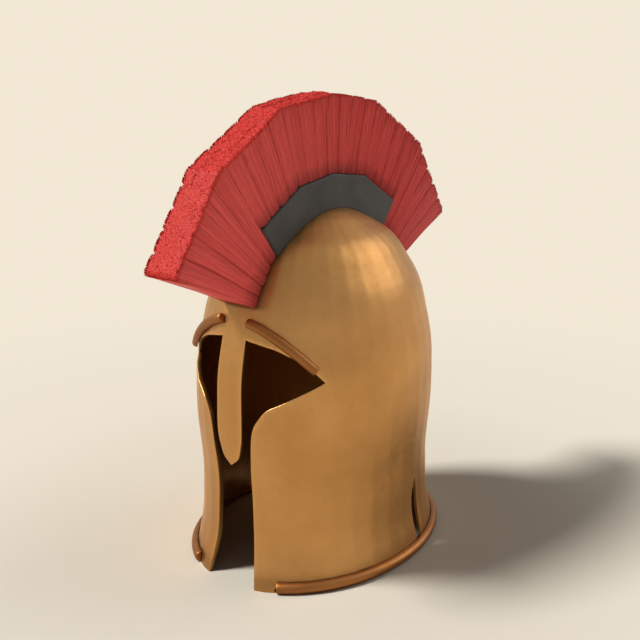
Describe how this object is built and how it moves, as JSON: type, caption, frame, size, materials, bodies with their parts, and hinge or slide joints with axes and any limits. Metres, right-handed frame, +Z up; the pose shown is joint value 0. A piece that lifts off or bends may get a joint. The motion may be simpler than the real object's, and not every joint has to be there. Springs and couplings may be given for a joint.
{
  "type": "corinthian helmet with horsehair crest",
  "caption": "Hollow bronze helmet with nasal, eye holes, cheek pieces and side notches, under a fore-and-aft red horsehair crest.",
  "frame": {"origin": "middle of the base, on the surface that the rim stands on", "axes": "the face looks along -Y, the crest runs fore and aft along Y, +X is the wearer's left, +Z is up to the crown"},
  "size_m": [0.2202, 0.3984, 0.4229],
  "materials": {
    "bronze": "hammered and satin, warm golden brown, lightly patinated",
    "dark_bronze": "satin, browner and darker than the bowl",
    "dark_leather": "matt charcoal leather over wood",
    "red_horsehair": "dyed horsehair, matt with a soft sheen along the hair"
  },
  "bodies": {
    "root": {"shell": "bronze", "brow_ridge_left": "dark_bronze", "brow_ridge_right": "dark_bronze", "rim_bead": "dark_bronze", "crest_holder": "dark_leather", "crest_plume": "red_horsehair"}
  },
  "joints": []
}
